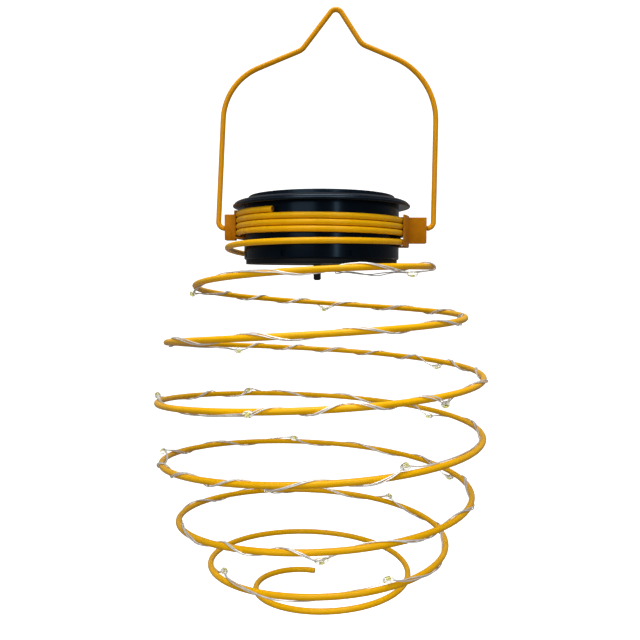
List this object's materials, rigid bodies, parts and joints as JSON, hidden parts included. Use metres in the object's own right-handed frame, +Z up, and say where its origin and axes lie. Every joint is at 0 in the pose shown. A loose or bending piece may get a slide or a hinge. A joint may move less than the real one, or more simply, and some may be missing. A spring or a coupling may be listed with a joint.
{
  "type": "solar spiral hanging lantern",
  "caption": "Hanging solar lantern: round solar unit held in the collar of a bellied wire spiral, with a wound light string and a pointed swinging wire handle.",
  "frame": {"origin": "the hang point, on the underside of the wire at the handle's peak", "axes": "+Z up along the lantern's height; X along the handle's pivot axis, from the left clip to the right clip; the front is towards -Y"},
  "size_m": [0.1494, 0.1513, 0.2678],
  "materials": {
    "handle": "satin powder coat",
    "clips": "satin powder coat",
    "spiral_wire": "satin powder coat",
    "top_shell": "moulded, satin gloss",
    "panel_window": "clear resin",
    "window_seal": "matte",
    "solar_cell": "dark blue crystalline",
    "cell_tabs": "tinned ribbon",
    "seal_ring": "matte",
    "housing_cup": "moulded, satin gloss",
    "bottom_cover": "moulded, matte",
    "cover_screws": "zinc plated",
    "battery_tray": "matte",
    "battery": "shrink sleeve",
    "contacts": "nickel plated",
    "circuit_board": "solder mask",
    "driver_chip": "epoxy",
    "choke_coil": "ferrite",
    "capacitor": "sleeve",
    "switch_body": "matte",
    "switch_button": "satin",
    "string_grommet": "matte",
    "panel_leads": "pvc",
    "battery_leads": "pvc",
    "light_string": "bare enamelled copper, silver",
    "light_drops": "clear epoxy"
  },
  "bodies": {
    "handle": {"handle": "handle"},
    "lantern": {"left_clip": "clips", "right_clip": "clips", "spiral_wire": "spiral_wire", "top_shell": "top_shell", "panel_window": "panel_window", "window_seal": "window_seal", "solar_cell": "solar_cell", "cell_tabs": "cell_tabs", "seal_ring": "seal_ring", "housing_cup": "housing_cup", "bottom_cover": "bottom_cover", "cover_screws": "cover_screws", "battery_tray": "battery_tray", "battery": "battery", "contact_spring": "contacts", "contact_plate": "contacts", "circuit_board": "circuit_board", "driver_chip": "driver_chip", "choke_coil": "choke_coil", "capacitor": "capacitor", "switch_body": "switch_body", "string_grommet": "string_grommet", "panel_leads": "panel_leads", "battery_leads": "battery_leads", "light_string": "light_string", "light_drops": "light_drops"},
    "button": {"switch_button": "switch_button"}
  },
  "joints": [
    {"name": "handle_swing", "type": "hinge", "parent": "handle", "child": "lantern", "pos_m": [0, 0, -0.0985], "axis": [1, 0, 0], "range_deg": [-100, 100]},
    {"name": "switch_push", "type": "slide", "parent": "lantern", "child": "button", "axis": [0, -0.0541, 0.9985], "range_m": [0, 0.0015], "stiffness_N_per_m": 300, "springref_m": -0.002}
  ]
}
